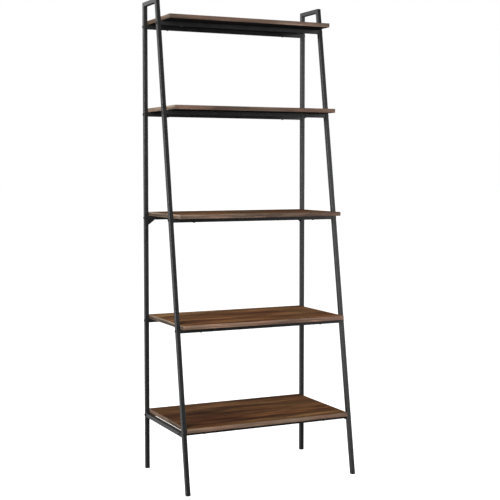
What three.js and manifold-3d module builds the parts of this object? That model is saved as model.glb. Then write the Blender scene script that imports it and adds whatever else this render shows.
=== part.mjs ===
// Ladder shelf: two welded side frames of square steel tube, each with an upright rear post and a
// leaning front leg, joined by ten bolted crossbars that carry five wood-grain shelves.
// Millimetres, +X right, +Y to the rear, +Z up. The origin is on the floor, under the middle.
import * as THREE from 'three';
import { mergeVertices } from 'three/addons/utils/BufferGeometryUtils.js';
import Module from 'manifold-3d';

// ---- Driving dimensions ----
const HEIGHT = 1829;
const WIDTH = 708; // over the two side frames
const FOOT_SPREAD = 425; // rear post to front leg at the floor, between centres
const TOP_SPREAD = 132; // the same at full height

const TUBE = 16; // outside of the square tube
const TUBE_WALL = 1.2;
const TUBE_CORNER = 1.5; // outside corner radius
const CORNER_STEPS = 4; // flats in each quarter round
const GAP = 0.3; // clearance between pieces that meet

const LEVELS = [
  { name: 'bottom', bar: 214.5, depth: 404 },
  { name: 'lower', bar: 590, depth: 371 },
  { name: 'middle', bar: 995, depth: 342 },
  { name: 'upper', bar: 1398, depth: 296 },
  { name: 'top', bar: 1735.5, depth: 247.5 },
]; // bar is the height of the crossbars' centres, depth is the shelf's
const BOTTOM_FRONT_BAR = 358.5; // bottom front crossbar, ahead of the rear posts' centres

const SHELF_THICKNESS = 15.5;
const SHELF_SIDE_GAP = 1; // to each side frame
const SHELF_REAR = 4; // rear edge, behind the rear posts' centres
const SHELF_ARRIS = 0.6; // flat taken off the long edges
const BAND_THICKNESS = 1.2; // edge band glued along each shelf's front
const BAND_SEAM = 0.1; // glue line behind it

const SCREW_FROM_END = 85; // shelf screws, from the crossbar's end
const SCREW_HOLE = 4.5;
const PILOT_HOLE = 3;
const PILOT_DEPTH = 11;

const BOLT_SHANK = 6;
const BOLT_HOLE = BOLT_SHANK + 2 * GAP;
const BOLT_REACH = 12; // past the side frame's inner face
const BOLT_HEAD = 10;
const BOLT_HEAD_HEIGHT = 3;
const BOLT_SOCKET = 4; // across flats
const BOLT_SOCKET_DEPTH = 1.8;
const END_PLATE = 4; // threaded plate welded into each crossbar end

const GUSSET_WIDTH = 26; // along the crossbar
const GUSSET_HEIGHT = 20; // down the post
const GUSSET_TIP = 2; // width left at each cut-off point
const GUSSET_THICKNESS = 3;

const FOOT_FLANGE = 3;
const FOOT_PLUG = 12;

// ---- Worked out from them ----
const LEAN = Math.atan((FOOT_SPREAD - TOP_SPREAD) / HEIGHT);
const SLOPE = Math.tan(LEAN);
const LEG_DEPTH = TUBE / Math.cos(LEAN); // the front leg, measured level
const REAR_Y = (FOOT_SPREAD + LEG_DEPTH / 2 - TUBE / 2) / 2; // rear posts' centres
const SIDE_X = (WIDTH - TUBE) / 2; // side frames' centres
const INNER_X = SIDE_X - TUBE / 2;
const TOP_BAR_Z = HEIGHT - TUBE / 2;
const REAR_MITRE = Math.PI / 4;
const FRONT_MITRE = Math.PI / 4 - LEAN / 2;
const TUBE_INSIDE = TUBE - 2 * TUBE_WALL;
const BAR_LENGTH = 2 * (INNER_X - GAP);
const SHELF_WIDTH = 2 * (INNER_X - SHELF_SIDE_GAP);
const SCREW_X = BAR_LENGTH / 2 - SCREW_FROM_END;
const SIDES = [
  { name: 'left', sign: -1 },
  { name: 'right', sign: 1 },
];

const legY = (z) => REAR_Y - FOOT_SPREAD + z * SLOPE; // front leg's centre at a height

// ---- Materials ----
const blackSteel = new THREE.MeshStandardMaterial({ color: 0x2a2b2d, roughness: 0.5, metalness: 0.3 });
const blackBolt = new THREE.MeshStandardMaterial({ color: 0x1d1e20, roughness: 0.4, metalness: 0.6 });
const blackPlastic = new THREE.MeshStandardMaterial({ color: 0x141414, roughness: 0.7, metalness: 0 });
const walnutBoard = new THREE.MeshStandardMaterial({ color: 0x5a3f2c, roughness: 0.6, metalness: 0 });
const walnutBand = new THREE.MeshStandardMaterial({ color: 0x7a6355, roughness: 0.65, metalness: 0 });

// ---- Cutting and joining ----
const wasm = await Module();
wasm.setup();

function solid(geometry) {
  const bare = geometry.clone();
  bare.deleteAttribute('normal');
  bare.deleteAttribute('uv');
  const merged = mergeVertices(bare, 1e-4);
  return new wasm.Manifold(
    new wasm.Mesh({
      numProp: 3,
      vertProperties: new Float32Array(merged.attributes.position.array),
      triVerts: new Uint32Array(merged.index.array),
    }),
  );
}

function geometryOf(manifold) {
  const { vertProperties, triVerts } = manifold.getMesh();
  const geometry = new THREE.BufferGeometry();
  geometry.setAttribute('position', new THREE.BufferAttribute(new Float32Array(vertProperties), 3));
  geometry.setIndex(new THREE.BufferAttribute(new Uint32Array(triVerts), 1));
  geometry.computeVertexNormals();
  return geometry;
}

function subtract(geometry, cutters) {
  let result = solid(geometry);
  for (const cutter of cutters) {
    result = result.subtract(solid(cutter));
  }
  return geometryOf(result);
}

// A rod centred on a point, lying along the x, y or z axis
function rod(diameter, length, axis, x, y, z, segments = 12) {
  const geometry = new THREE.CylinderGeometry(diameter / 2, diameter / 2, length, segments);
  if (axis === 'x') geometry.rotateZ(Math.PI / 2);
  if (axis === 'z') geometry.rotateX(Math.PI / 2);
  return geometry.translate(x, y, z);
}

// ---- Square tube ----
function roundedSquare(width, radius) {
  const shape = new THREE.Shape();
  const c = width / 2 - radius;
  shape.absarc(c, c, radius, 0, Math.PI / 2);
  shape.absarc(-c, c, radius, Math.PI / 2, Math.PI);
  shape.absarc(-c, -c, radius, Math.PI, 1.5 * Math.PI);
  shape.absarc(c, -c, radius, 1.5 * Math.PI, 2 * Math.PI);
  shape.closePath();
  return shape;
}

// Slides both ends of a piece that runs along z, so that they are cut at a tangent across y
function cutEnds(geometry, length, startTangent, endTangent) {
  const points = geometry.attributes.position;
  for (let i = 0; i < points.count; i += 1) {
    const tangent = points.getZ(i) > length / 2 ? endTangent : startTangent;
    points.setZ(i, points.getZ(i) + points.getY(i) * tangent);
  }
  return geometry;
}

function squareTube(length, startTangent = 0, endTangent = 0) {
  const section = roundedSquare(TUBE, TUBE_CORNER);
  const h = TUBE_INSIDE / 2;
  const insideCorners = [[h, h], [-h, h], [-h, -h], [h, -h]];
  section.holes.push(new THREE.Path(insideCorners.map(([x, y]) => new THREE.Vector2(x, y))));
  const options = { depth: length, bevelEnabled: false, curveSegments: CORNER_STEPS };
  return cutEnds(new THREE.ExtrudeGeometry(section, options), length, startTangent, endTangent);
}

function mesh(name, geometry, material) {
  const piece = new THREE.Mesh(geometry, material);
  piece.name = name;
  return piece;
}

// ---- Side frames ----
// Heights along the tube at which the crossbar bolts pass through it
function boltHoles(heights) {
  return heights.map((z) => rod(BOLT_HOLE, 2 * TUBE, 'x', 0, 0, z));
}

function rearPost(side) {
  const start = FOOT_FLANGE + GAP;
  const mitreGap = GAP / 2 / Math.cos(REAR_MITRE);
  const length = TOP_BAR_Z - mitreGap - start;
  const tube = squareTube(length, 0, Math.tan(REAR_MITRE));
  const holes = boltHoles(LEVELS.map((level) => level.bar - start));
  const piece = mesh(`rear_post_${side.name}`, subtract(tube, holes), blackSteel);
  piece.position.set(side.sign * SIDE_X, REAR_Y, start);
  return piece;
}

function frontLeg(side) {
  const start = (FOOT_FLANGE + GAP) / Math.cos(LEAN); // along the leaning centre line
  const mitreGap = GAP / 2 / Math.cos(FRONT_MITRE);
  const length = TOP_BAR_Z / Math.cos(LEAN) - mitreGap - start;
  const tube = squareTube(length, SLOPE, -Math.tan(FRONT_MITRE));
  const drilled = LEVELS.filter((level) => level.name !== 'bottom');
  const holes = boltHoles(drilled.map((level) => level.bar / Math.cos(LEAN) - start));
  const piece = mesh(`front_leg_${side.name}`, subtract(tube, holes), blackSteel);
  piece.position.set(side.sign * SIDE_X, legY(start * Math.cos(LEAN)), start * Math.cos(LEAN));
  piece.rotation.x = -LEAN;
  return piece;
}

function topBar(side) {
  const frontGap = GAP / 2 / Math.cos(FRONT_MITRE);
  const rearGap = GAP / 2 / Math.cos(REAR_MITRE);
  const start = legY(TOP_BAR_Z) + frontGap;
  const length = REAR_Y - rearGap - start;
  const tube = squareTube(length, Math.tan(FRONT_MITRE), -Math.tan(REAR_MITRE));
  const piece = mesh(`top_bar_${side.name}`, tube, blackSteel);
  piece.position.set(side.sign * SIDE_X, start, TOP_BAR_Z);
  piece.rotation.x = -Math.PI / 2;
  return piece;
}

function lowerSideRail(side) {
  const height = LEVELS[0].bar;
  const start = legY(height) + LEG_DEPTH / 2 + GAP;
  const length = REAR_Y - TUBE / 2 - GAP - start;
  const tube = squareTube(length, -SLOPE, 0);
  const holes = boltHoles([REAR_Y - BOTTOM_FRONT_BAR - start]);
  const piece = mesh(`lower_side_rail_${side.name}`, subtract(tube, holes), blackSteel);
  piece.position.set(side.sign * SIDE_X, start, height);
  piece.rotation.x = -Math.PI / 2;
  return piece;
}

// Push-in plastic foot: a flange on the floor and a plug up inside the tube
function foot(name, x, y, tangent) {
  const plugWidth = TUBE_INSIDE - 2 * GAP;
  const options = { bevelEnabled: false, curveSegments: CORNER_STEPS };
  const flangeShape = roundedSquare(TUBE, TUBE_CORNER);
  const flange = new THREE.ExtrudeGeometry(flangeShape, { ...options, depth: FOOT_FLANGE });
  const plugShape = roundedSquare(plugWidth, 1);
  const plug = new THREE.ExtrudeGeometry(plugShape, { ...options, depth: FOOT_PLUG + 1 });
  plug.translate(0, 0, FOOT_FLANGE - 1);
  const geometry = geometryOf(solid(flange).add(solid(plug)));
  // lean both with the leg, keeping the underside level, and widen them to its level section
  const points = geometry.attributes.position;
  for (let i = 0; i < points.count; i += 1) {
    points.setY(i, points.getY(i) * Math.sqrt(1 + tangent * tangent) + points.getZ(i) * tangent);
  }
  const piece = mesh(name, geometry, blackPlastic);
  piece.position.set(x, y, 0);
  return piece;
}

// ---- Crossbars ----
// A tube with a threaded plate in each end, and two holes for the shelf screws
function crossbar(name, y, z) {
  const options = { depth: BAR_LENGTH, bevelEnabled: false, curveSegments: CORNER_STEPS };
  const outside = new THREE.ExtrudeGeometry(roundedSquare(TUBE, TUBE_CORNER), options);
  outside.translate(0, 0, -BAR_LENGTH / 2).rotateY(Math.PI / 2);
  const hollow = new THREE.BoxGeometry(BAR_LENGTH - 2 * END_PLATE, TUBE_INSIDE, TUBE_INSIDE);
  const cutters = [hollow];
  for (const side of SIDES) {
    const plateX = side.sign * (BAR_LENGTH / 2);
    cutters.push(rod(BOLT_HOLE, 4 * END_PLATE, 'x', plateX, 0, 0));
    cutters.push(rod(SCREW_HOLE, 2 * TUBE, 'z', side.sign * SCREW_X, 0, 0, 8));
  }
  const piece = mesh(name, subtract(outside, cutters), blackSteel);
  piece.position.set(0, y, z);
  return piece;
}

// A small plate in the corner under the middle rear crossbar
function gusset(side) {
  const along = GUSSET_WIDTH - GAP;
  const down = GUSSET_HEIGHT - GAP;
  const shape = new THREE.Shape([
    new THREE.Vector2(0, 0),
    new THREE.Vector2(-along, 0),
    new THREE.Vector2(-along, -GUSSET_TIP),
    new THREE.Vector2(-GUSSET_TIP, -down),
    new THREE.Vector2(0, -down),
  ]);
  const geometry = new THREE.ExtrudeGeometry(shape, { depth: GUSSET_THICKNESS, bevelEnabled: false });
  geometry.translate(0, 0, -GUSSET_THICKNESS / 2).rotateX(Math.PI / 2);
  if (side.sign < 0) geometry.rotateZ(Math.PI);
  const piece = mesh(`gusset_${side.name}`, geometry, blackSteel);
  const middle = LEVELS[2].bar;
  piece.position.set(side.sign * (INNER_X - GAP), REAR_Y, middle - TUBE / 2 - GAP);
  return piece;
}

// Button-head socket bolt, through a side frame and into a crossbar's end plate
function bolt(name, side, y, z) {
  const shankEnd = -(TUBE + BOLT_REACH);
  const r = BOLT_HEAD / 2;
  const profile = [
    new THREE.Vector2(0, shankEnd),
    new THREE.Vector2(BOLT_SHANK / 2, shankEnd),
    new THREE.Vector2(BOLT_SHANK / 2, GAP),
    new THREE.Vector2(r, GAP),
    new THREE.Vector2(r, 0.4 * BOLT_HEAD_HEIGHT),
    new THREE.Vector2(0.7 * r, BOLT_HEAD_HEIGHT),
    new THREE.Vector2(0, BOLT_HEAD_HEIGHT),
  ];
  const body = new THREE.LatheGeometry(profile, 12);
  const socketRadius = BOLT_SOCKET / Math.sqrt(3);
  const socket = new THREE.CylinderGeometry(socketRadius, socketRadius, 2 * BOLT_SOCKET_DEPTH, 6);
  socket.translate(0, BOLT_HEAD_HEIGHT, 0);
  const piece = mesh(name, subtract(body, [socket]), blackBolt);
  piece.position.set(side.sign * (WIDTH / 2), y, z);
  piece.rotation.z = (-side.sign * Math.PI) / 2;
  return piece;
}

// ---- Shelves ----
// A flat board of the shelf's full width. Its outline is given from the front, as depth and height.
function board(outline) {
  const shape = new THREE.Shape(outline.map(([depth, height]) => new THREE.Vector2(depth, height)));
  const geometry = new THREE.ExtrudeGeometry(shape, { depth: SHELF_WIDTH, bevelEnabled: false });
  return geometry.translate(0, 0, -SHELF_WIDTH / 2).rotateX(Math.PI / 2).rotateZ(Math.PI / 2);
}

function shelf(level) {
  const a = SHELF_ARRIS;
  const top = SHELF_THICKNESS;
  const front = BAND_THICKNESS + BAND_SEAM;
  const rear = level.depth;
  const rearEdge = [[rear - a, 0], [rear, a], [rear, top - a], [rear - a, top]];
  const panel = board([[front, 0], ...rearEdge, [front, top]]);
  const frontY = REAR_Y + SHELF_REAR - level.depth;
  const pilots = [];
  for (const barY of [REAR_Y, frontBarY(level)]) {
    for (const side of SIDES) {
      const x = side.sign * SCREW_X;
      pilots.push(rod(PILOT_HOLE, 2 * PILOT_DEPTH, 'z', x, barY - frontY, 0, 8));
    }
  }
  const piece = mesh(`${level.name}_shelf`, subtract(panel, pilots), walnutBoard);
  piece.position.set(0, frontY, level.bar + TUBE / 2);
  return piece;
}

function frontBand(level) {
  const a = SHELF_ARRIS;
  const top = SHELF_THICKNESS;
  const rear = BAND_THICKNESS;
  const band = board([[a, 0], [rear, 0], [rear, top], [a, top], [0, top - a], [0, a]]);
  const piece = mesh(`${level.name}_shelf_front_band`, band, walnutBand);
  piece.position.set(0, REAR_Y + SHELF_REAR - level.depth, level.bar + TUBE / 2);
  return piece;
}

function frontBarY(level) {
  return level.name === 'bottom' ? REAR_Y - BOTTOM_FRONT_BAR : legY(level.bar);
}

// ---- The whole shelf ----
const ladderShelf = new THREE.Group();

for (const side of SIDES) {
  const x = side.sign * SIDE_X;
  ladderShelf.add(rearPost(side), frontLeg(side), topBar(side), lowerSideRail(side));
  ladderShelf.add(foot(`rear_foot_${side.name}`, x, REAR_Y, 0));
  ladderShelf.add(foot(`front_foot_${side.name}`, x, REAR_Y - FOOT_SPREAD, SLOPE));
  ladderShelf.add(gusset(side));
}

for (const level of LEVELS) {
  ladderShelf.add(shelf(level), frontBand(level));
  const bars = [
    { place: 'rear', y: REAR_Y },
    { place: 'front', y: frontBarY(level) },
  ];
  for (const bar of bars) {
    const name = `${level.name}_${bar.place}`;
    ladderShelf.add(crossbar(`${name}_crossbar`, bar.y, level.bar));
    for (const side of SIDES) {
      ladderShelf.add(bolt(`${name}_bolt_${side.name}`, side, bar.y, level.bar));
    }
  }
}

export default ladderShelf;
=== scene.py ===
"""The looks of the ladder shelf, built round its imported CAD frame.

Metres, +X right, +Y to the rear, +Z up, with the origin on the floor under the middle.
"""
import math

import bmesh
import bpy
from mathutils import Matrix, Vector


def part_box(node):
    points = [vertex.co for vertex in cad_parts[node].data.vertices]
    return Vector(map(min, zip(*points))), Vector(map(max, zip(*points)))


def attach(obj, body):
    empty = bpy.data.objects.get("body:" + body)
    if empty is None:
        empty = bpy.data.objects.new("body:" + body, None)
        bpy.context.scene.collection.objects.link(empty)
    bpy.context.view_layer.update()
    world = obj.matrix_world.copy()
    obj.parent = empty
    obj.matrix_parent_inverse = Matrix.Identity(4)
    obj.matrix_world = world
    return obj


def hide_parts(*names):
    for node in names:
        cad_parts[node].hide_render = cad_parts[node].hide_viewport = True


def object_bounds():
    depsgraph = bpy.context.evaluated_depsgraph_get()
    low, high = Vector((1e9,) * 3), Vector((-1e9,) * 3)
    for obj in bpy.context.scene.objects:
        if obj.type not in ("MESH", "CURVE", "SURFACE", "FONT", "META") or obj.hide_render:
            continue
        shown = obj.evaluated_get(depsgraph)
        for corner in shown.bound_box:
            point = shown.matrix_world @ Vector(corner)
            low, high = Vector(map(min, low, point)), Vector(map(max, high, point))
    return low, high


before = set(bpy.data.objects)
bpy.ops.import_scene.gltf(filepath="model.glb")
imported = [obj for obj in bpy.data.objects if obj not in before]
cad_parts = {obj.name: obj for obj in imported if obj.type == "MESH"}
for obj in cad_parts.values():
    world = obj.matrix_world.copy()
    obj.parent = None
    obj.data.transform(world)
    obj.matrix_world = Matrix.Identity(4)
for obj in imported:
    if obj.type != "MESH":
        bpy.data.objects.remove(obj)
cad_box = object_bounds()

MM = 0.001
LEVELS = ("bottom", "lower", "middle", "upper", "top")
SIDES = {"left": -1, "right": 1}

# ---- Sizes that the frame's boxes don't give directly ----
FOOT_SPREAD = 425 * MM  # rear post to front leg at the floor, between centres
TOP_SPREAD = 132 * MM  # the same at full height
TUBE_WALL = 1.2 * MM
TUBE_CORNER = 1.5 * MM
TUBE_END_EASE = 0.25 * MM  # softens each cut end, so a joint shows as a fine line
CORNER_STEPS = 6
FOOT_FLANGE = 3 * MM
SCREW_FROM_END = 85 * MM
EDGING = 0.8 * MM  # the thickness of the edging on a board's sides and rear

# ---- Camera ----
CAMERA_PLACE = (-1.8546, -3.9168, 1.1873)
CAMERA_HEADING = 25.39  # degrees to the right of +Y
CAMERA_DIP = 3.528  # degrees below level
CAMERA_LENS = 80.44  # millimetres, on Blender's 36 mm sensor
CAMERA_SHIFT = -0.025
CAMERA_REACH = 200  # metres to the far clipping plane, past the floor's edge

# ---- Places worked out from the frame ----
post_low, post_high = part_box("rear_post_left")
TUBE = post_high.x - post_low.x
REAR_Y = (post_low.y + post_high.y) / 2
SIDE_X = -(post_low.x + post_high.x) / 2
HEIGHT = cad_box[1].z
TOP_BAR_Z = HEIGHT - TUBE / 2
LEAN = math.atan((FOOT_SPREAD - TOP_SPREAD) / HEIGHT)
LEG_DEPTH = TUBE / math.cos(LEAN)  # the front leg, measured level
LEG_UP = Vector((0, math.sin(LEAN), math.cos(LEAN)))

UP = Vector((0, 0, 1))
RIGHT = Vector((1, 0, 0))
REARWARD = Vector((0, 1, 0))


def leg_y(z):
    """The front legs' centre at a height."""
    return REAR_Y - FOOT_SPREAD + z * math.tan(LEAN)


def middle_of(node):
    """The centre of a CAD node's box."""
    low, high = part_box(node)
    return (low + high) / 2


# ---- Wood tones, each from the darkest to the lightest ----
LAMINATE_TONES = (
    (0.022, 0.0078, 0.0032),
    (0.060, 0.0225, 0.0088),
    (0.122, 0.0565, 0.0205),
    (0.190, 0.1030, 0.0420),
)
EDGE_TONES = (
    (0.075, 0.0470, 0.0325),
    (0.112, 0.0715, 0.0490),
    (0.140, 0.0915, 0.0630),
    (0.180, 0.1240, 0.0890),
)
# Painted light and sheen: these side-edging tones are paler and greyer than the front edging's, standing
# in for light and grazing sheen from the left; both sides use them.
SIDE_EDGE_PAINTED_LIGHT_TONES = (
    (0.060, 0.0430, 0.0310),
    (0.094, 0.0700, 0.0510),
    (0.140, 0.1080, 0.0810),
    (0.200, 0.1620, 0.1260),
)
# These factors make each board's top, and its front and rear edging, lighter or darker.
TOP_SHADES = {"bottom": 1.15, "lower": 1.65, "middle": 1.35, "upper": 1.2, "top": 1.2}
EDGE_SHADES = {"bottom": 1.03, "lower": 1.15, "middle": 0.72, "upper": 0.68, "top": 0.58}
# Painted light and shade: the edging on the sides is made lighter by this much over its upper stretch, so
# it reads darker towards its lower edge.
PAINTED_LIGHT_GAIN = (1.6, 1.6, 1.6)
PAINTED_LIGHT_STARTS = 8 * MM  # below the board's top
PAINTED_LIGHT_FULL = 4 * MM  # below the board's top


# ---- Materials ----
class Graph:
    """A material's node tree, with short ways to add and join its nodes."""

    def __init__(self, name):
        self.material = bpy.data.materials.new(name)
        self.material.use_nodes = True
        self.tree = self.material.node_tree
        self.shader = self.tree.nodes["Principled BSDF"]
        self.place = self.add("ShaderNodeTexCoord").outputs["Object"]

    def add(self, kind, **settings):
        node = self.tree.nodes.new(kind)
        for key, value in settings.items():
            setattr(node, key, value)
        return node

    def join(self, source, socket):
        self.tree.links.new(source, socket)

    def stretched(self, scale, offset=(0, 0, 0)):
        """The object's own coordinates in metres, scaled along each axis and moved by an offset."""
        mapping = self.add("ShaderNodeMapping")
        mapping.inputs["Location"].default_value = offset
        mapping.inputs["Scale"].default_value = scale
        self.join(self.place, mapping.inputs["Vector"])
        return mapping.outputs["Vector"]

    def noise(self, vector, scale=1.0, detail=2.0, roughness=0.5, distortion=0.0):
        """Smooth noise, mostly between 0.3 and 0.7."""
        node = self.add("ShaderNodeTexNoise")
        self.join(vector, node.inputs["Vector"])
        node.inputs["Scale"].default_value = scale
        node.inputs["Detail"].default_value = detail
        node.inputs["Roughness"].default_value = roughness
        node.inputs["Distortion"].default_value = distortion
        return node.outputs["Fac"]

    def ramp(self, factor, stops):
        """A colour ramp. Each stop is a position and a grey or an RGB colour."""
        node = self.add("ShaderNodeValToRGB")
        elements = node.color_ramp.elements
        while len(elements) < len(stops):
            elements.new(0.5)
        for element, (position, colour) in zip(elements, stops):
            rgb = (colour,) * 3 if isinstance(colour, (int, float)) else colour
            element.position = position
            element.color = (*rgb, 1)
        self.join(factor, node.inputs["Fac"])
        return node.outputs["Color"]

    def mix(self, blend, factor, a, b):
        """Two colours mixed. The factor and the colours may be outputs or plain values."""
        node = self.add("ShaderNodeMix", data_type="RGBA", blend_type=blend)
        for socket, value in zip((node.inputs[0], node.inputs[6], node.inputs[7]), (factor, a, b)):
            if isinstance(value, bpy.types.NodeSocket):
                self.join(value, socket)
            else:
                socket.default_value = value if isinstance(value, float) else (*value, 1)
        return node.outputs[2]

    def span(self, factor, low, high):
        """A factor of 0 to 1 spread from low to high."""
        node = self.add("ShaderNodeMapRange")
        self.join(factor, node.inputs["Value"])
        node.inputs["To Min"].default_value = low
        node.inputs["To Max"].default_value = high
        return node.outputs["Result"]

    def rise(self, low, high):
        """0 below one height in metres, rising to 1 at another."""
        parts = self.add("ShaderNodeSeparateXYZ")
        self.join(self.place, parts.inputs["Vector"])
        node = self.add("ShaderNodeMapRange", interpolation_type="SMOOTHSTEP")
        self.join(parts.outputs["Z"], node.inputs["Value"])
        node.inputs["From Min"].default_value = low
        node.inputs["From Max"].default_value = high
        return node.outputs["Result"]

    def bump(self, height, depth, strength):
        """Relief of a given depth in metres."""
        node = self.add("ShaderNodeBump")
        node.inputs["Strength"].default_value = strength
        node.inputs["Distance"].default_value = depth
        self.join(height, node.inputs["Height"])
        self.join(node.outputs["Normal"], self.shader.inputs["Normal"])

    def edges(self, width):
        """0 on flat faces, rising towards 1 on edges, over a width in metres."""
        bevel = self.add("ShaderNodeBevel", samples=6)
        bevel.inputs["Radius"].default_value = width
        geometry = self.add("ShaderNodeNewGeometry")
        alike = self.add("ShaderNodeVectorMath", operation="DOT_PRODUCT")
        self.join(bevel.outputs["Normal"], alike.inputs[0])
        self.join(geometry.outputs["Normal"], alike.inputs[1])
        away = self.add("ShaderNodeMath", operation="SUBTRACT")
        away.inputs[0].default_value = 1
        self.join(alike.outputs["Value"], away.inputs[1])
        return away.outputs["Value"]

    def finish(self, colour, roughness, specular=0.5, metallic=0.0):
        """Joins the colour and the roughness to the shader, and gives the material."""
        self.join(colour, self.shader.inputs["Base Color"])
        self.join(roughness, self.shader.inputs["Roughness"])
        self.shader.inputs["Specular IOR Level"].default_value = specular
        self.shader.inputs["Metallic"].default_value = metallic
        return self.material


def powder_coat():
    """Black powder coat on steel: a fine orange peel, and a little lighter on edges, partly where the coat
    thins and partly as a painted highlight.
    """
    g = Graph("powder_coat")
    cloud = g.noise(g.stretched((1, 1, 1)), scale=30, detail=3)
    peel = g.noise(g.stretched((1, 1, 1)), scale=900, detail=2)
    grit = g.noise(g.stretched((1, 1, 1)), scale=3200, detail=1)
    coat = g.ramp(cloud, [(0.3, (0.0062, 0.0065, 0.0068)), (0.7, (0.0090, 0.0093, 0.0097))])
    speckled = g.mix("MULTIPLY", 0.25, coat, g.ramp(grit, [(0.35, 0.6), (0.65, 1.0)]))
    # Lighter on edges: partly the thinner coat there, partly a painted highlight on the rims.
    worn_and_highlit = g.ramp(g.edges(1.2 * MM), [(0.05, 0.0), (0.6, 0.35)])
    colour = g.mix("MIX", worn_and_highlit, speckled, (0.034, 0.034, 0.035))
    g.bump(peel, 0.008 * MM, 0.5)
    return g.finish(colour, g.span(cloud, 0.32, 0.42), specular=0.5)


def walnut(name, along, offset, tones, specular, top=None):
    """Printed walnut grain that runs along one axis. Tones go from the darkest to the lightest.

    An edge that is given the height of its board's top gets painted light towards it, so it reads darker
    lower down.
    """
    vein, heart, middle, sap = tones
    g = Graph(name)
    length = 0 if along == "x" else 1

    def grain(lengthwise, across):
        scale = [across] * 3
        scale[length] = lengthwise
        return g.stretched(scale, offset)

    bands = g.noise(grain(1.6, 13), detail=2, roughness=0.5, distortion=0.5)
    streaks = g.noise(grain(3.4, 34), detail=4, roughness=0.62, distortion=0.6)
    rings = g.noise(grain(5, 130), detail=3, roughness=0.65, distortion=0.5)
    fibres = g.noise(grain(12, 620), detail=3, roughness=0.65)
    pores = g.noise(grain(42, 1500), detail=1)
    cloud = g.noise(grain(5, 11), detail=2)

    base = g.ramp(bands, [(0.38, heart), (0.47, middle), (0.56, middle), (0.65, sap)])
    contrast = g.ramp(streaks, [(0.38, 0.34), (0.47, 0.90), (0.54, 1.0), (0.63, 1.60)])
    streaked = g.mix("MULTIPLY", 0.8, base, contrast)
    veined = g.mix("MIX", g.ramp(rings, [(0.38, 0.85), (0.46, 0.0)]), streaked, vein)
    lifted = g.mix("MULTIPLY", 0.7, veined, g.ramp(rings, [(0.50, 1.0), (0.66, 1.35)]))
    fibred = g.mix("MULTIPLY", 0.6, lifted, g.ramp(fibres, [(0.34, 0.68), (0.66, 1.28)]))
    pored = g.mix("MULTIPLY", 0.5, fibred, g.ramp(pores, [(0.34, 0.45), (0.42, 1.0)]))
    reddish = g.mix("MULTIPLY", 0.8, pored, (1.02, 0.86, 0.84))
    colour = g.mix("MIX", g.ramp(cloud, [(0.44, 0.0), (0.58, 1.0)]), pored, reddish)
    if top:
        # Painted light: lighter near the board's top, leaving the lower part of the edge darker as painted
        # shade.
        pale = g.mix("MULTIPLY", 1.0, colour, PAINTED_LIGHT_GAIN)
        colour = g.mix("MIX", g.rise(top - PAINTED_LIGHT_STARTS, top - PAINTED_LIGHT_FULL), colour, pale)
    g.bump(pores, 0.05 * MM, 0.5)
    return g.finish(colour, g.span(fibres, 0.46, 0.62), specular=specular)


def dark_underside():
    """A near-black sheet on a board's underside, faintly mottled."""
    g = Graph("dark_underside")
    mottle = g.noise(g.stretched((1, 1, 1)), scale=160, detail=4, roughness=0.7)
    cloth = g.noise(g.stretched((300, 1400, 300)), detail=1)
    colour = g.ramp(mottle, [(0.35, (0.0075, 0.0070, 0.0065)), (0.65, (0.0115, 0.0105, 0.0098))])
    g.bump(cloth, 0.03 * MM, 0.4)
    return g.finish(colour, g.span(mottle, 0.75, 0.9), specular=0.12)


def black_oxide():
    """Blackened steel of the bolts, with fine turning marks and rubbed edges."""
    g = Graph("black_oxide")
    marks = g.noise(g.stretched((4200, 1, 1)), detail=1)
    cloud = g.noise(g.stretched((1, 1, 1)), scale=700, detail=3)
    rubbed = g.ramp(g.edges(0.5 * MM), [(0.04, 0.0), (0.5, 0.6)])
    base = g.ramp(cloud, [(0.3, (0.016, 0.016, 0.018)), (0.7, (0.028, 0.028, 0.030))])
    colour = g.mix("MIX", rubbed, base, (0.11, 0.11, 0.115))
    g.bump(marks, 0.01 * MM, 0.5)
    return g.finish(colour, g.span(cloud, 0.30, 0.45), metallic=0.55)


def zinc():
    """Dark zinc plate of the shelf screws, a little cloudy."""
    g = Graph("zinc")
    cloud = g.noise(g.stretched((1, 1, 1)), scale=900, detail=3)
    colour = g.ramp(cloud, [(0.3, (0.09, 0.09, 0.095)), (0.7, (0.15, 0.15, 0.155))])
    g.bump(cloud, 0.01 * MM, 0.4)
    return g.finish(colour, g.span(cloud, 0.38, 0.50), specular=0.3, metallic=1.0)


def foot_plastic():
    """Moulded black polyethylene, with a fine spark texture."""
    g = Graph("foot_plastic")
    spark = g.noise(g.stretched((1, 1, 1)), scale=2600, detail=2)
    cloud = g.noise(g.stretched((1, 1, 1)), scale=120, detail=2)
    colour = g.ramp(cloud, [(0.3, (0.010, 0.010, 0.010)), (0.7, (0.017, 0.017, 0.017))])
    g.bump(spark, 0.03 * MM, 0.6)
    return g.finish(colour, g.span(spark, 0.55, 0.72), specular=0.4)


STEEL = powder_coat()
DARK_UNDERSIDE = dark_underside()
BOLT_BLACK = black_oxide()
ZINC = zinc()
PLASTIC = foot_plastic()


# ---- Mesh building ----
def piece(name, bm, materials, stands_for=(), sharp=40):
    """Makes a finished piece of a bmesh, with flat faces shaded flat and its curves smooth."""
    bmesh.ops.recalc_face_normals(bm, faces=bm.faces)
    mesh = bpy.data.meshes.new(name)
    bm.to_mesh(mesh)
    bm.free()
    mesh.shade_smooth()
    mesh.set_sharp_from_angle(angle=math.radians(sharp))
    for material in materials:
        mesh.materials.append(material)
    made = bpy.data.objects.new(name, mesh)
    bpy.context.scene.collection.objects.link(made)
    weighted = made.modifiers.new("face_weighted", "WEIGHTED_NORMAL")
    weighted.keep_sharp = True
    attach(made, "root")
    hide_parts(*stands_for)


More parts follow.
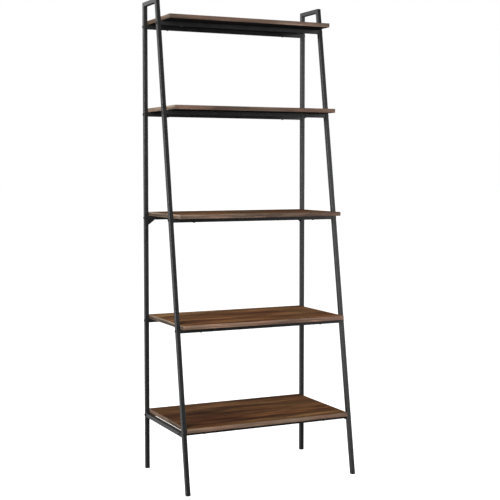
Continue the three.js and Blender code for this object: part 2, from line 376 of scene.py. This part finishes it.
def loft(rings, ring_shaped=False):
    """A skin over rings of points, capped at both ends or joined back into a ring."""
    bm = bmesh.new()
    loops = [[bm.verts.new(point) for point in ring] for ring in rings]
    pairs = list(zip(loops, loops[1:]))
    if ring_shaped:
        pairs.append((loops[-1], loops[0]))
    for a, b in pairs:
        for i in range(len(a)):
            j = (i + 1) % len(a)
            bm.faces.new((a[i], a[j], b[j], b[i]))
    if not ring_shaped:
        bm.faces.new(reversed(loops[0]))
        bm.faces.new(loops[-1])
    return bm


def rounded_square(width, radius):
    """Points round a square with rounded corners, centred on zero."""
    reach = width / 2 - radius
    points = []
    for quarter, (u, v) in enumerate(((1, 1), (-1, 1), (-1, -1), (1, -1))):
        for step in range(CORNER_STEPS + 1):
            angle = math.radians(90 * (quarter + step / CORNER_STEPS))
            points.append((u * reach + radius * math.cos(angle), v * reach + radius * math.sin(angle)))
    return points


def tube(name, start, end, start_normal, end_normal, stands_for):
    """Hollow square tube from start to end, each end cut by a plane through its point."""
    axis = (end - start).normalized()
    side = REARWARD if abs(axis.x) > 0.5 else RIGHT
    over = axis.cross(side)

    def ring(place, normal, inset, radius, inwards=0.0):
        points = []
        for u, v in rounded_square(TUBE - 2 * inset, radius):
            point = place + side * u + over * v
            slide = (place - point).dot(normal) / axis.dot(normal)
            points.append(point + axis * (slide + inwards))
        return points

    ease = TUBE_END_EASE
    rings = [
        ring(start, start_normal, ease, TUBE_CORNER - ease),
        ring(start, start_normal, 0, TUBE_CORNER, ease),
        ring(end, end_normal, 0, TUBE_CORNER, -ease),
        ring(end, end_normal, ease, TUBE_CORNER - ease),
        ring(end, end_normal, TUBE_WALL, TUBE_CORNER - TUBE_WALL),
        ring(start, start_normal, TUBE_WALL, TUBE_CORNER - TUBE_WALL),
    ]
    piece(name, loft(rings, ring_shaped=True), [STEEL], stands_for)


def slab(low, high, ease):
    """A block whose edges are all eased to a small radius."""
    bm = bmesh.new()
    bmesh.ops.create_cube(bm, size=1)
    for vert in bm.verts:
        for i in range(3):
            vert.co[i] = high[i] if vert.co[i] > 0 else low[i]
    bmesh.ops.bevel(bm, geom=bm.edges, offset=ease, segments=2, profile=0.5, affect="EDGES")
    return bm


# ---- Side frames ----
def side_frame(side, sign):
    """Rear post, front leg, top bar and lower side rail, cut to meet each other."""
    x = sign * SIDE_X
    rear_corner = Vector((x, REAR_Y, TOP_BAR_Z))
    front_corner = Vector((x, leg_y(TOP_BAR_Z), TOP_BAR_Z))
    rear_mitre = (REARWARD - UP).normalized()
    front_mitre = (REARWARD + LEG_UP).normalized()

    post_foot = Vector((x, REAR_Y, FOOT_FLANGE))
    tube(f"post_tube_{side}", post_foot, rear_corner, UP, rear_mitre, [f"rear_post_{side}"])
    leg_foot = Vector((x, leg_y(FOOT_FLANGE), FOOT_FLANGE))
    tube(f"leg_tube_{side}", leg_foot, front_corner, UP, front_mitre, [f"front_leg_{side}"])
    tube(f"top_bar_tube_{side}", front_corner, rear_corner, front_mitre, rear_mitre, [f"top_bar_{side}"])

    rail_z = middle_of(f"lower_side_rail_{side}").z
    rail_front = Vector((x, leg_y(rail_z) + LEG_DEPTH / 2, rail_z))
    rail_rear = Vector((x, REAR_Y - TUBE / 2, rail_z))
    leg_face = Vector((0, math.cos(LEAN), -math.sin(LEAN)))
    tube(f"rail_tube_{side}", rail_front, rail_rear, leg_face, REARWARD, [f"lower_side_rail_{side}"])


def foot(name, x, y, slope, stands_for):
    """Push-in plastic foot: a flange with softened edges, and a plug up inside the tube.

    The slope is how far the leg leans to the rear for each metre that it rises.
    """
    widen = math.sqrt(1 + slope * slope)
    soft = 0.7 * MM
    plug = 2.2 * MM  # inset of the plug from the flange's sides
    plug_length = 12 * MM
    taper = 1 * MM  # length of the plug's narrowed end
    stack = [
        (0, soft),
        (0.25 * soft, 0.3 * soft),
        (soft, 0),
        (FOOT_FLANGE - 0.4 * soft, 0),
        (FOOT_FLANGE, 0.4 * soft),
        (FOOT_FLANGE, plug),
        (FOOT_FLANGE + plug_length - taper, plug),
        (FOOT_FLANGE + plug_length, plug + 0.8 * MM),
    ]
    rings = []
    for z, inset in stack:
        corner = max(TUBE_CORNER - inset, 0.5 * MM)
        outline = rounded_square(TUBE - 2 * inset, corner)
        rings.append([(x + u, y + v * widen + z * slope, z) for u, v in outline])
    piece(name, loft(rings), [PLASTIC], stands_for)


for side, sign in SIDES.items():
    side_frame(side, sign)
    foot(f"post_foot_{side}", sign * SIDE_X, REAR_Y, 0, [f"rear_foot_{side}"])
    foot(f"leg_foot_{side}", sign * SIDE_X, leg_y(0), math.tan(LEAN), [f"front_foot_{side}"])


# ---- Crossbars and gussets ----
def crossbar(node):
    """A square tube from end to end of the node's box."""
    low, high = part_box(node)
    centre = (low + high) / 2
    start = Vector((low.x, centre.y, centre.z))
    end = Vector((high.x, centre.y, centre.z))
    tube(f"{node}_tube", start, end, RIGHT, RIGHT, [node])


def gusset(side, sign):
    """A small plate with its point cut off, in the corner of the crossbar and the rear post."""
    low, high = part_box(f"gusset_{side}")
    corner = high.x if sign > 0 else low.x
    along = high.x - low.x
    down = high.z - low.z
    tip = 2 * MM
    outline = [(0, 0), (-along, 0), (-along, -tip), (-tip, -down), (0, -down)]
    ease = 0.4 * MM
    bm = bmesh.new()
    faces = []
    for y in (low.y, high.y):
        faces.append([bm.verts.new((corner + sign * u, y, high.z + v)) for u, v in outline])
    bm.faces.new(faces[0])
    bm.faces.new(reversed(faces[1]))
    for i in range(len(outline)):
        j = (i + 1) % len(outline)
        bm.faces.new((faces[0][j], faces[0][i], faces[1][i], faces[1][j]))
    bmesh.ops.bevel(bm, geom=bm.edges, offset=ease, segments=3, profile=0.5, affect="EDGES")
    piece(f"gusset_plate_{side}", bm, [STEEL], [f"gusset_{side}"])


for level in LEVELS:
    crossbar(f"{level}_rear_crossbar")
    crossbar(f"{level}_front_crossbar")
for side, sign in SIDES.items():
    gusset(side, sign)


# ---- Bolts and screws ----
TURN_STEPS = 48
RIM = 0.15 * MM  # the eased rim of a head
DOME_STEP = 15  # degrees between the outlines of a domed head

BOLT_SHANK = 3 * MM  # radius
BOLT_CHAMFER = 0.6 * MM
BOLT_SOCKET = 4 * MM  # across the hexagon's flats
BOLT_SOCKET_DEPTH = 2 * MM

SCREW_HEAD = 4 * MM  # radius
SCREW_HEAD_HEIGHT = 2.3 * MM
SCREW_SHANK = 1.7 * MM  # radius
SCREW_GRIP = 10 * MM  # the length that stands in the board
SCREW_POINT = 4 * MM  # the length of its tapered tip
SCREW_RECESS_DEPTH = 1.5 * MM


def circle(radius):
    """A round outline: the same radius at every angle."""
    return lambda angle: radius


def hexagon(across_flats):
    """A hexagon's outline."""
    sixth = math.pi / 3
    return lambda angle: across_flats / 2 / math.cos((angle + sixth / 2) % sixth - sixth / 2)


def cross(arm, half_width):
    """A Phillips recess's outline: four arms."""
    def radius(angle):
        off = abs((angle + math.pi / 4) % (math.pi / 2) - math.pi / 4)
        return min(arm / math.cos(off), half_width / max(math.sin(off), 1e-6))
    return radius


def turned(name, base, outwards, stack, material, stands_for=()):
    """A fastener made of outlines stacked along a direction. Each is a height and a radius."""
    side = UP if abs(outwards.z) < 0.5 else RIGHT
    over = outwards.cross(side)
    rings = []
    for height, radius in stack:
        ring = []
        for step in range(TURN_STEPS):
            angle = 2 * math.pi * step / TURN_STEPS
            reach = radius(angle)
            spoke = side * (reach * math.cos(angle)) + over * (reach * math.sin(angle))
            ring.append(base + outwards * height + spoke)
        rings.append(ring)
    piece(name, loft(rings), [material], stands_for, sharp=50)


def bolt(node, sign):
    """M6 button-head bolt with a 4 mm hexagon socket."""
    low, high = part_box(node)
    centre = (low + high) / 2
    face = SIDE_X + TUBE / 2
    head = abs(high.x if sign > 0 else low.x) - face
    r = (high.z - low.z) / 2
    shank_end = high.x - low.x - head
    stack = [
        (-shank_end, circle(BOLT_SHANK - BOLT_CHAMFER)),
        (-shank_end + BOLT_CHAMFER, circle(BOLT_SHANK)),
        (0, circle(BOLT_SHANK)),
        (0, circle(r - 0.2 * MM)),
        (RIM, circle(r)),
    ]
    for degrees in range(0, 91, DOME_STEP):
        angle = math.radians(degrees)
        stack.append((head * (0.25 + 0.75 * math.sin(angle)), circle(r * (0.58 + 0.42 * math.cos(angle)))))
    stack += [
        (head, hexagon(BOLT_SOCKET + 0.4 * MM)),
        (head - 0.2 * MM, hexagon(BOLT_SOCKET)),
        (head - BOLT_SOCKET_DEPTH, hexagon(BOLT_SOCKET)),
        (head - BOLT_SOCKET_DEPTH - BOLT_CHAMFER, circle(0.3 * MM)),
    ]
    base = Vector((sign * face, centre.y, centre.z))
    turned(f"{node}_m6", base, RIGHT * sign, stack, BOLT_BLACK, [node])


def shelf_screw(level, place, side, sign):
    """Pan-head screw up through a crossbar into the board."""
    low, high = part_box(f"{level}_{place}_crossbar")
    x = sign * (high.x - SCREW_FROM_END)
    base = Vector((x, (low.y + high.y) / 2, low.z))
    r = SCREW_HEAD
    head = SCREW_HEAD_HEIGHT
    tip = TUBE + SCREW_GRIP
    stack = [
        (-tip, circle(0.2 * MM)),
        (-tip + SCREW_POINT, circle(SCREW_SHANK)),
        (0, circle(SCREW_SHANK)),
        (0, circle(r - RIM)),
        (RIM, circle(r)),
    ]
    for degrees in range(0, 90, DOME_STEP):
        angle = math.radians(degrees)
        stack.append((head * (0.35 + 0.65 * math.sin(angle)), circle(r * (0.45 + 0.55 * math.cos(angle)))))
    stack += [
        (head, circle(0.6 * r)),
        (head, cross(2.1 * MM, 0.55 * MM)),
        (head - SCREW_RECESS_DEPTH, cross(1.3 * MM, 0.45 * MM)),
        (head - SCREW_RECESS_DEPTH - 0.4 * MM, circle(0.2 * MM)),
    ]
    turned(f"{level}_{place}_screw_{side}", base, -UP, stack, ZINC)


for level in LEVELS:
    for place in ("rear", "front"):
        for side, sign in SIDES.items():
            bolt(f"{level}_{place}_bolt_{side}", sign)
            shelf_screw(level, place, side, sign)


# ---- Weld beads ----
BEAD = 1.5 * MM  # a bead's radius
GUSSET_BEAD = 1.2 * MM
GUSSET_BEAD_INSET = 2 * MM  # from the ends of the gusset's top edge
BEAD_SIDES = 12
RIPPLE = 1.3 * MM  # from one ripple to the next
RIPPLE_RISE = 0.10  # as a share of the bead's radius
STEPS_PER_RIPPLE = 4


def weld(name, start, end, radius=BEAD):
    """A rippled bead between two points, half sunk in the two faces that it joins."""
    axis = (end - start).normalized()
    side = axis.orthogonal().normalized()
    over = axis.cross(side)
    ripples = max(4, round((end - start).length / RIPPLE))
    steps = STEPS_PER_RIPPLE * ripples
    rings = []
    for step in range(steps + 1):
        share = step / steps
        end_round = math.sqrt(max(0.0, 1 - abs(2 * share - 1) ** 8))
        ripple = 1 + RIPPLE_RISE * math.cos(2 * math.pi * ripples * share)
        reach = max(radius * end_round * ripple, 0.1 * MM)
        centre = start.lerp(end, share)
        ring = []
        for turn in range(BEAD_SIDES):
            angle = 2 * math.pi * turn / BEAD_SIDES
            ring.append(centre + side * (reach * math.cos(angle)) + over * (reach * math.sin(angle)))
        rings.append(ring)
    piece(name, loft(rings), [STEEL], sharp=80)


def weld_across(name, x, y, z):
    """A bead across a side frame's inside corner."""
    half = TUBE / 2 - TUBE_CORNER
    weld(name, Vector((x - half, y, z)), Vector((x + half, y, z)))


for side, sign in SIDES.items():
    x = sign * SIDE_X
    under_bar = HEIGHT - TUBE
    weld_across(f"weld_top_rear_{side}", x, REAR_Y - TUBE / 2, under_bar)
    weld_across(f"weld_top_front_{side}", x, leg_y(under_bar) + LEG_DEPTH / 2, under_bar)
    rail = middle_of(f"lower_side_rail_{side}").z
    for place, z in (("over", rail + TUBE / 2), ("under", rail - TUBE / 2)):
        weld_across(f"weld_rail_rear_{place}_{side}", x, REAR_Y - TUBE / 2, z)
        weld_across(f"weld_rail_front_{place}_{side}", x, leg_y(z) + LEG_DEPTH / 2, z)
    low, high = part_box(f"gusset_{side}")
    for place, y in (("front", low.y), ("rear", high.y)):
        start = Vector((low.x + GUSSET_BEAD_INSET, y, high.z))
        end = Vector((high.x - GUSSET_BEAD_INSET, y, high.z))
        weld(f"weld_gusset_{place}_{side}", start, end, GUSSET_BEAD)


# ---- Shelves ----
PANEL_EASE = 0.12 * MM
FRONT_EASE = 0.5 * MM
SIDE_EASE = 0.3 * MM
GRAIN_STEP = (5.3, 2.9)  # from one board's stretch of grain to the next one's
GRAIN_START = (1.9, 0.7)


def shaded(tones, shade):
    """The same tones, all lighter or darker."""
    return [tuple(shade * part for part in tone) for tone in tones]


def shelf(index, level):
    """A board laminated on top, with edging on its four sides and a near-black underside."""
    low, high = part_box(f"{level}_shelf")
    front_low, front_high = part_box(f"{level}_shelf_front_band")
    shift = (GRAIN_STEP[0] * index + GRAIN_START[0], GRAIN_STEP[1] * index + GRAIN_START[1], 0.0)
    top_tones = shaded(LAMINATE_TONES, TOP_SHADES[level])
    edge_tones = shaded(EDGE_TONES, EDGE_SHADES[level])
    laminate = walnut(f"walnut_{level}", "x", shift, top_tones, specular=0.18)
    edge_long = walnut(f"edge_long_{level}", "x", shift, edge_tones, specular=0.3)
    edge_short = walnut(f"edge_short_{level}", "y", shift, SIDE_EDGE_PAINTED_LIGHT_TONES, specular=0.02, top=high.z)

    behind_front = front_high.y
    panel_low = Vector((low.x + EDGING, behind_front, low.z))
    panel_high = Vector((high.x - EDGING, high.y - EDGING, high.z))
    bm = slab(panel_low, panel_high, PANEL_EASE)
    for face in bm.faces:
        face.normal_update()
        face.material_index = 1 if face.normal.z < -0.5 else 0
    piece(f"{level}_board", bm, [laminate, DARK_UNDERSIDE], [f"{level}_shelf"])

    front = slab(front_low, front_high, FRONT_EASE)
    piece(f"{level}_edge_front", front, [edge_long], [f"{level}_shelf_front_band"])
    edgings = (
        ("left", (low.x, behind_front, low.z), (low.x + EDGING, high.y, high.z), edge_short),
        ("right", (high.x - EDGING, behind_front, low.z), high, edge_short),
        ("rear", (panel_low.x, panel_high.y, low.z), (panel_high.x, high.y, high.z), edge_long),
    )
    for place, edging_low, edging_high, material in edgings:
        edging = slab(edging_low, edging_high, SIDE_EASE)
        piece(f"{level}_edge_{place}", edging, [material])


for index, level in enumerate(LEVELS):
    shelf(index, level)


# ---- Floor, light and camera ----
FLOOR_RADIUS = 60
FLOOR_GREY = 0.82
FLOOR_GLOW = 0.97  # with the light that falls on it, the floor comes out as pale as the background

WORLD_STRIP = 0.82  # a tall soft strip at the rear left
WORLD_SIDE = 0.25  # the strip's far edge, towards the left
WORLD_RIGHT = 0.8  # a patch straight to the right, which lights the right-hand sides
WORLD_DIM = 0.05  # everywhere else

# Each soft box's place, what it points at, its size and its power in watts.
SOFTBOXES = {
    "key": ((-3.6, -3.6, 2.3), (0.0, 0.0, 0.8), (3.0, 3.0), 560),
    "top": ((-0.55, 1.25, 2.1), (-0.1, 0.0, 1.8), (0.9, 0.5), 1.0),
    "right": ((2.8, -2.6, 1.3), (0.2, 0.0, 0.9), (1.4, 2.6), 44),
}


def plain_floor():
    """A wide pale floor that fades into the white background."""
    bm = bmesh.new()
    bmesh.ops.create_circle(bm, cap_ends=True, radius=FLOOR_RADIUS, segments=64)
    mesh = bpy.data.meshes.new("floor")
    bm.to_mesh(mesh)
    bm.free()
    material = bpy.data.materials.new("pale_floor")
    material.use_nodes = True
    shader = material.node_tree.nodes["Principled BSDF"]
    shader.inputs["Base Color"].default_value = (FLOOR_GREY, FLOOR_GREY, FLOOR_GREY, 1)
    shader.inputs["Roughness"].default_value = 1
    shader.inputs["Specular IOR Level"].default_value = 0
    shader.inputs["Emission Color"].default_value = (1, 1, 1, 1)
    shader.inputs["Emission Strength"].default_value = FLOOR_GLOW
    mesh.materials.append(material)
    floor = bpy.data.objects.new("floor", mesh)
    floor.visible_diffuse = False
    floor.visible_glossy = False
    bpy.context.scene.collection.objects.link(floor)


def studio_world():
    """A dim room, lit at its rear left and straight to the right, and seen by the camera as white."""
    world = bpy.data.worlds.new("studio")
    bpy.context.scene.world = world
    world.use_nodes = True
    tree = world.node_tree
    background = tree.nodes["Background"]
    background.inputs["Color"].default_value = (1, 1, 1, 1)

    def spread(value, low, high, to_low, to_high):
        """One strength below low, passing softly to another above high."""
        node = tree.nodes.new("ShaderNodeMapRange")
        node.interpolation_type = "SMOOTHSTEP"
        for socket, number in (("From Min", low), ("From Max", high)):
            node.inputs[socket].default_value = number
        for socket, number in (("To Min", to_low), ("To Max", to_high)):
            if isinstance(number, bpy.types.NodeSocket):
                tree.links.new(number, node.inputs[socket])
            else:
                node.inputs[socket].default_value = number
        tree.links.new(value, node.inputs["Value"])
        return node.outputs["Result"]

    direction = tree.nodes.new("ShaderNodeSeparateXYZ")
    coordinates = tree.nodes.new("ShaderNodeTexCoord")
    tree.links.new(coordinates.outputs["Generated"], direction.inputs["Vector"])
    left = spread(direction.outputs["X"], -0.75, -0.35, WORLD_SIDE, WORLD_STRIP)
    strip = spread(direction.outputs["X"], -0.2, 0.1, left, WORLD_DIM)
    rear = spread(direction.outputs["Y"], -0.1, 0.6, WORLD_DIM, strip)
    light = spread(direction.outputs["X"], 0.78, 0.97, rear, WORLD_RIGHT)
    path = tree.nodes.new("ShaderNodeLightPath")
    seen = spread(path.outputs["Is Camera Ray"], 0, 1, light, 1.0)
    tree.links.new(seen, background.inputs["Strength"])


def softbox(name, place, target, size, power):
    """A rectangular area light that the camera doesn't see."""
    light = bpy.data.lights.new(name, "AREA")
    light.shape = "RECTANGLE"
    light.size, light.size_y = size
    light.energy = power
    lamp = bpy.data.objects.new(name, light)
    lamp.location = place
    lamp.visible_camera = False
    lamp.rotation_euler = (Vector(target) - Vector(place)).to_track_quat("-Z", "Y").to_euler()
    bpy.context.scene.collection.objects.link(lamp)


def photo_camera():
    """The camera, at the photograph's viewing angle."""
    data = bpy.data.cameras.new("camera")
    data.lens = CAMERA_LENS
    data.shift_y = CAMERA_SHIFT
    data.clip_end = CAMERA_REACH
    camera = bpy.data.objects.new("camera", data)
    camera.location = CAMERA_PLACE
    camera.rotation_euler = (math.radians(90 - CAMERA_DIP), 0, math.radians(-CAMERA_HEADING))
    bpy.context.scene.collection.objects.link(camera)
    bpy.context.scene.camera = camera


plain_floor()
studio_world()
for box_name, (place, target, size, power) in SOFTBOXES.items():
    softbox(f"softbox_{box_name}", place, target, size, power)
photo_camera()
bpy.context.scene.view_settings.view_transform = "Standard"
